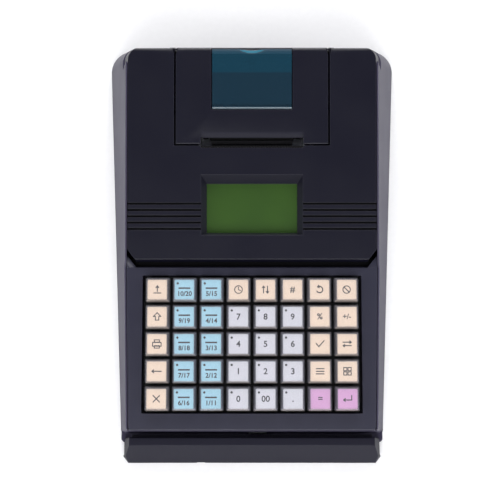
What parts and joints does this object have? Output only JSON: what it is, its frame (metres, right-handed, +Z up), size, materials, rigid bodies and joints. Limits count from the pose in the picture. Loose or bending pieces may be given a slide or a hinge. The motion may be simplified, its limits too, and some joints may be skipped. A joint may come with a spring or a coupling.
{
  "type": "electronic cash register",
  "caption": "Wedge-shaped desktop cash register with a receipt printer under a hinged windowed cover, a green display, a square-key keyboard and a front card swipe slot.",
  "frame": {"origin": "on the table, under the middle of the unit's bounding box", "axes": "+Y from the card slot at the front to the printer at the rear, +X to the operator's right, +Z up"},
  "size_m": [0.2226, 0.322, 0.0816],
  "materials": {
    "housing_grey": "fine moulded texture, satin",
    "deck_black": "fine moulded texture, satin",
    "teal_window": "tinted transparent, polished",
    "steel": "satin",
    "rubber": "matte",
    "gear_plastic": "satin",
    "brass": "machined",
    "display_green": "smooth",
    "circuit_board": "solder resist",
    "rocker_black": "polished",
    "key_cream": "clear cap over a printed card",
    "key_blue": "clear cap over a printed card",
    "key_grey": "clear cap over a printed card",
    "key_pink": "clear cap over a printed card"
  },
  "bodies": {
    "housing": {"bottom_case": "housing_grey", "top_case": "deck_black", "keyboard_frame": "deck_black", "card_rail": "deck_black", "card_reader": "steel", "hinge_pin": "steel", "print_mechanism": "steel", "tear_bar": "steel", "lcd_lens": "display_green", "lcd_module": "circuit_board", "key_switch_board": "circuit_board", "main_board": "circuit_board", "rubber_feet": "rubber", "case_screws": "steel"},
    "cover": {"printer_cover": "deck_black", "cover_window": "teal_window"},
    "platen": {"platen_roller": "rubber"},
    "drive_gear": {"drive_gear": "gear_plastic"},
    "motor_pinion": {"motor_pinion": "brass"},
    "rocker": {"power_switch": "rocker_black"},
    "key_r1c1": {"key_r1c1": "key_cream"},
    "key_r1c2": {"key_r1c2": "key_blue"},
    "key_r1c3": {"key_r1c3": "key_blue"},
    "key_r1c4": {"key_r1c4": "key_cream"},
    "key_r1c5": {"key_r1c5": "key_cream"},
    "key_r1c6": {"key_r1c6": "key_cream"},
    "key_r1c7": {"key_r1c7": "key_cream"},
    "key_r1c8": {"key_r1c8": "key_cream"},
    "key_r2c1": {"key_r2c1": "key_cream"},
    "key_r2c2": {"key_r2c2": "key_blue"},
    "key_r2c3": {"key_r2c3": "key_blue"},
    "key_r2c4": {"key_r2c4": "key_grey"},
    "key_r2c5": {"key_r2c5": "key_grey"},
    "key_r2c6": {"key_r2c6": "key_grey"},
    "key_r2c7": {"key_r2c7": "key_cream"},
    "key_r2c8": {"key_r2c8": "key_cream"},
    "key_r3c1": {"key_r3c1": "key_cream"},
    "key_r3c2": {"key_r3c2": "key_blue"},
    "key_r3c3": {"key_r3c3": "key_blue"},
    "key_r3c4": {"key_r3c4": "key_grey"},
    "key_r3c5": {"key_r3c5": "key_grey"},
    "key_r3c6": {"key_r3c6": "key_grey"},
    "key_r3c7": {"key_r3c7": "key_cream"},
    "key_r3c8": {"key_r3c8": "key_cream"},
    "key_r4c1": {"key_r4c1": "key_cream"},
    "key_r4c2": {"key_r4c2": "key_blue"},
    "key_r4c3": {"key_r4c3": "key_blue"},
    "key_r4c4": {"key_r4c4": "key_grey"},
    "key_r4c5": {"key_r4c5": "key_grey"},
    "key_r4c6": {"key_r4c6": "key_grey"},
    "key_r4c7": {"key_r4c7": "key_cream"},
    "key_r4c8": {"key_r4c8": "key_cream"},
    "key_r5c1": {"key_r5c1": "key_cream"},
    "key_r5c2": {"key_r5c2": "key_blue"},
    "key_r5c3": {"key_r5c3": "key_blue"},
    "key_r5c4": {"key_r5c4": "key_grey"},
    "key_r5c5": {"key_r5c5": "key_grey"},
    "key_r5c6": {"key_r5c6": "key_grey"},
    "key_r5c7": {"key_r5c7": "key_pink"},
    "key_r5c8": {"key_r5c8": "key_pink"}
  },
  "joints": [
    {"name": "cover_hinge", "type": "hinge", "parent": "housing", "child": "cover", "pos_m": [0, 0.13, 0.06793], "axis": [-1, 0, 0], "range_deg": [0, 105]},
    {"name": "platen_spin", "type": "hinge", "parent": "cover", "child": "platen", "pos_m": [0, 0.06968, 0.05929], "axis": [1, 0, 0], "continuous": true},
    {"name": "drive_gear_spin", "type": "hinge", "parent": "housing", "child": "drive_gear", "pos_m": [0.042, 0.07328, 0.0437], "axis": [1, 0, 0], "continuous": true},
    {"name": "motor_pinion_spin", "type": "hinge", "parent": "housing", "child": "motor_pinion", "pos_m": [0.042, 0.06607, 0.03216], "axis": [1, 0, 0], "continuous": true},
    {"name": "power_rocker", "type": "hinge", "parent": "housing", "child": "rocker", "pos_m": [0.02, 0.14, 0.0177], "axis": [1, 0, 0], "range_deg": [-18, 0]},
    {"name": "press_r1c1", "type": "slide", "parent": "housing", "child": "key_r1c1", "axis": [0, 0.1392, -0.9903], "range_m": [0, 0.0036], "stiffness_N_per_m": 170, "springref_m": -0.002},
    {"name": "press_r1c2", "type": "slide", "parent": "housing", "child": "key_r1c2", "axis": [0, 0.1392, -0.9903], "range_m": [0, 0.0036], "stiffness_N_per_m": 170, "springref_m": -0.002},
    {"name": "press_r1c3", "type": "slide", "parent": "housing", "child": "key_r1c3", "axis": [0, 0.1392, -0.9903], "range_m": [0, 0.0036], "stiffness_N_per_m": 170, "springref_m": -0.002},
    {"name": "press_r1c4", "type": "slide", "parent": "housing", "child": "key_r1c4", "axis": [0, 0.1392, -0.9903], "range_m": [0, 0.0036], "stiffness_N_per_m": 170, "springref_m": -0.002},
    {"name": "press_r1c5", "type": "slide", "parent": "housing", "child": "key_r1c5", "axis": [0, 0.1392, -0.9903], "range_m": [0, 0.0036], "stiffness_N_per_m": 170, "springref_m": -0.002},
    {"name": "press_r1c6", "type": "slide", "parent": "housing", "child": "key_r1c6", "axis": [0, 0.1392, -0.9903], "range_m": [0, 0.0036], "stiffness_N_per_m": 170, "springref_m": -0.002},
    {"name": "press_r1c7", "type": "slide", "parent": "housing", "child": "key_r1c7", "axis": [0, 0.1392, -0.9903], "range_m": [0, 0.0036], "stiffness_N_per_m": 170, "springref_m": -0.002},
    {"name": "press_r1c8", "type": "slide", "parent": "housing", "child": "key_r1c8", "axis": [0, 0.1392, -0.9903], "range_m": [0, 0.0036], "stiffness_N_per_m": 170, "springref_m": -0.002},
    {"name": "press_r2c1", "type": "slide", "parent": "housing", "child": "key_r2c1", "axis": [0, 0.1392, -0.9903], "range_m": [0, 0.0036], "stiffness_N_per_m": 170, "springref_m": -0.002},
    {"name": "press_r2c2", "type": "slide", "parent": "housing", "child": "key_r2c2", "axis": [0, 0.1392, -0.9903], "range_m": [0, 0.0036], "stiffness_N_per_m": 170, "springref_m": -0.002},
    {"name": "press_r2c3", "type": "slide", "parent": "housing", "child": "key_r2c3", "axis": [0, 0.1392, -0.9903], "range_m": [0, 0.0036], "stiffness_N_per_m": 170, "springref_m": -0.002},
    {"name": "press_r2c4", "type": "slide", "parent": "housing", "child": "key_r2c4", "axis": [0, 0.1392, -0.9903], "range_m": [0, 0.0036], "stiffness_N_per_m": 170, "springref_m": -0.002},
    {"name": "press_r2c5", "type": "slide", "parent": "housing", "child": "key_r2c5", "axis": [0, 0.1392, -0.9903], "range_m": [0, 0.0036], "stiffness_N_per_m": 170, "springref_m": -0.002},
    {"name": "press_r2c6", "type": "slide", "parent": "housing", "child": "key_r2c6", "axis": [0, 0.1392, -0.9903], "range_m": [0, 0.0036], "stiffness_N_per_m": 170, "springref_m": -0.002},
    {"name": "press_r2c7", "type": "slide", "parent": "housing", "child": "key_r2c7", "axis": [0, 0.1392, -0.9903], "range_m": [0, 0.0036], "stiffness_N_per_m": 170, "springref_m": -0.002},
    {"name": "press_r2c8", "type": "slide", "parent": "housing", "child": "key_r2c8", "axis": [0, 0.1392, -0.9903], "range_m": [0, 0.0036], "stiffness_N_per_m": 170, "springref_m": -0.002},
    {"name": "press_r3c1", "type": "slide", "parent": "housing", "child": "key_r3c1", "axis": [0, 0.1392, -0.9903], "range_m": [0, 0.0036], "stiffness_N_per_m": 170, "springref_m": -0.002},
    {"name": "press_r3c2", "type": "slide", "parent": "housing", "child": "key_r3c2", "axis": [0, 0.1392, -0.9903], "range_m": [0, 0.0036], "stiffness_N_per_m": 170, "springref_m": -0.002},
    {"name": "press_r3c3", "type": "slide", "parent": "housing", "child": "key_r3c3", "axis": [0, 0.1392, -0.9903], "range_m": [0, 0.0036], "stiffness_N_per_m": 170, "springref_m": -0.002},
    {"name": "press_r3c4", "type": "slide", "parent": "housing", "child": "key_r3c4", "axis": [0, 0.1392, -0.9903], "range_m": [0, 0.0036], "stiffness_N_per_m": 170, "springref_m": -0.002},
    {"name": "press_r3c5", "type": "slide", "parent": "housing", "child": "key_r3c5", "axis": [0, 0.1392, -0.9903], "range_m": [0, 0.0036], "stiffness_N_per_m": 170, "springref_m": -0.002},
    {"name": "press_r3c6", "type": "slide", "parent": "housing", "child": "key_r3c6", "axis": [0, 0.1392, -0.9903], "range_m": [0, 0.0036], "stiffness_N_per_m": 170, "springref_m": -0.002},
    {"name": "press_r3c7", "type": "slide", "parent": "housing", "child": "key_r3c7", "axis": [0, 0.1392, -0.9903], "range_m": [0, 0.0036], "stiffness_N_per_m": 170, "springref_m": -0.002},
    {"name": "press_r3c8", "type": "slide", "parent": "housing", "child": "key_r3c8", "axis": [0, 0.1392, -0.9903], "range_m": [0, 0.0036], "stiffness_N_per_m": 170, "springref_m": -0.002},
    {"name": "press_r4c1", "type": "slide", "parent": "housing", "child": "key_r4c1", "axis": [0, 0.1392, -0.9903], "range_m": [0, 0.0036], "stiffness_N_per_m": 170, "springref_m": -0.002},
    {"name": "press_r4c2", "type": "slide", "parent": "housing", "child": "key_r4c2", "axis": [0, 0.1392, -0.9903], "range_m": [0, 0.0036], "stiffness_N_per_m": 170, "springref_m": -0.002},
    {"name": "press_r4c3", "type": "slide", "parent": "housing", "child": "key_r4c3", "axis": [0, 0.1392, -0.9903], "range_m": [0, 0.0036], "stiffness_N_per_m": 170, "springref_m": -0.002},
    {"name": "press_r4c4", "type": "slide", "parent": "housing", "child": "key_r4c4", "axis": [0, 0.1392, -0.9903], "range_m": [0, 0.0036], "stiffness_N_per_m": 170, "springref_m": -0.002},
    {"name": "press_r4c5", "type": "slide", "parent": "housing", "child": "key_r4c5", "axis": [0, 0.1392, -0.9903], "range_m": [0, 0.0036], "stiffness_N_per_m": 170, "springref_m": -0.002},
    {"name": "press_r4c6", "type": "slide", "parent": "housing", "child": "key_r4c6", "axis": [0, 0.1392, -0.9903], "range_m": [0, 0.0036], "stiffness_N_per_m": 170, "springref_m": -0.002},
    {"name": "press_r4c7", "type": "slide", "parent": "housing", "child": "key_r4c7", "axis": [0, 0.1392, -0.9903], "range_m": [0, 0.0036], "stiffness_N_per_m": 170, "springref_m": -0.002},
    {"name": "press_r4c8", "type": "slide", "parent": "housing", "child": "key_r4c8", "axis": [0, 0.1392, -0.9903], "range_m": [0, 0.0036], "stiffness_N_per_m": 170, "springref_m": -0.002},
    {"name": "press_r5c1", "type": "slide", "parent": "housing", "child": "key_r5c1", "axis": [0, 0.1392, -0.9903], "range_m": [0, 0.0036], "stiffness_N_per_m": 170, "springref_m": -0.002},
    {"name": "press_r5c2", "type": "slide", "parent": "housing", "child": "key_r5c2", "axis": [0, 0.1392, -0.9903], "range_m": [0, 0.0036], "stiffness_N_per_m": 170, "springref_m": -0.002},
    {"name": "press_r5c3", "type": "slide", "parent": "housing", "child": "key_r5c3", "axis": [0, 0.1392, -0.9903], "range_m": [0, 0.0036], "stiffness_N_per_m": 170, "springref_m": -0.002},
    {"name": "press_r5c4", "type": "slide", "parent": "housing", "child": "key_r5c4", "axis": [0, 0.1392, -0.9903], "range_m": [0, 0.0036], "stiffness_N_per_m": 170, "springref_m": -0.002},
    {"name": "press_r5c5", "type": "slide", "parent": "housing", "child": "key_r5c5", "axis": [0, 0.1392, -0.9903], "range_m": [0, 0.0036], "stiffness_N_per_m": 170, "springref_m": -0.002},
    {"name": "press_r5c6", "type": "slide", "parent": "housing", "child": "key_r5c6", "axis": [0, 0.1392, -0.9903], "range_m": [0, 0.0036], "stiffness_N_per_m": 170, "springref_m": -0.002},
    {"name": "press_r5c7", "type": "slide", "parent": "housing", "child": "key_r5c7", "axis": [0, 0.1392, -0.9903], "range_m": [0, 0.0036], "stiffness_N_per_m": 170, "springref_m": -0.002},
    {"name": "press_r5c8", "type": "slide", "parent": "housing", "child": "key_r5c8", "axis": [0, 0.1392, -0.9903], "range_m": [0, 0.0036], "stiffness_N_per_m": 170, "springref_m": -0.002}
  ],
  "couplings": [
    {"joint": "drive_gear_spin", "follows": "platen_spin", "ratio": -0.66667},
    {"joint": "motor_pinion_spin", "follows": "platen_spin", "ratio": 1.6}
  ]
}
